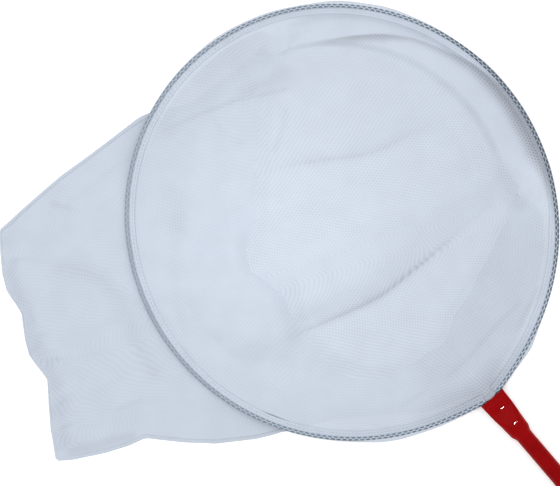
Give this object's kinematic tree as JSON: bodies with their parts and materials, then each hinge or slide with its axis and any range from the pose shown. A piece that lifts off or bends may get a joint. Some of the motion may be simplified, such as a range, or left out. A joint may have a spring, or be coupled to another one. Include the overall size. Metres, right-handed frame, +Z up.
{
  "type": "bird catching net",
  "caption": "Hand net for catching birds: wire hoop with a sheer mesh bag sewn round it, on a red tube handle, laid flat with the closed end of the bag folded out to one side.",
  "frame": {"origin": "on the surface that the net lies on, under the centre of the hoop", "axes": "+X along the handle, away from the hoop; +Z up, square to the hoop"},
  "size_m": [1.0546, 0.5435, 0.019],
  "materials": {
    "galvanised_wire": "dull galvanised",
    "red_paint": "gloss enamel",
    "black_vinyl": "satin vinyl",
    "net_mesh": "sheer knitted mesh",
    "thread": "polyester thread"
  },
  "bodies": {
    "net_frame": {"hoop_wire": "galvanised_wire", "socket_ferrule": "red_paint", "handle_tube": "red_paint", "end_cap": "black_vinyl", "hem": "net_mesh", "hem_thread": "thread", "net_lower_panel": "net_mesh", "net_upper_panel": "net_mesh", "throat_seam_left": "net_mesh", "throat_seam_right": "net_mesh"},
    "bag_tail": {"tail_lower_panel": "net_mesh", "tail_upper_panel": "net_mesh", "side_seam_left": "net_mesh", "side_seam_right": "net_mesh", "bottom_seam": "net_mesh"}
  },
  "joints": [
    {"name": "tail_fold", "type": "hinge", "parent": "net_frame", "child": "bag_tail", "pos_m": [-0.06506, -0.21019, 0.0095], "axis": [-0.9553, 0.2957, 0], "range_deg": [0, 160]}
  ]
}
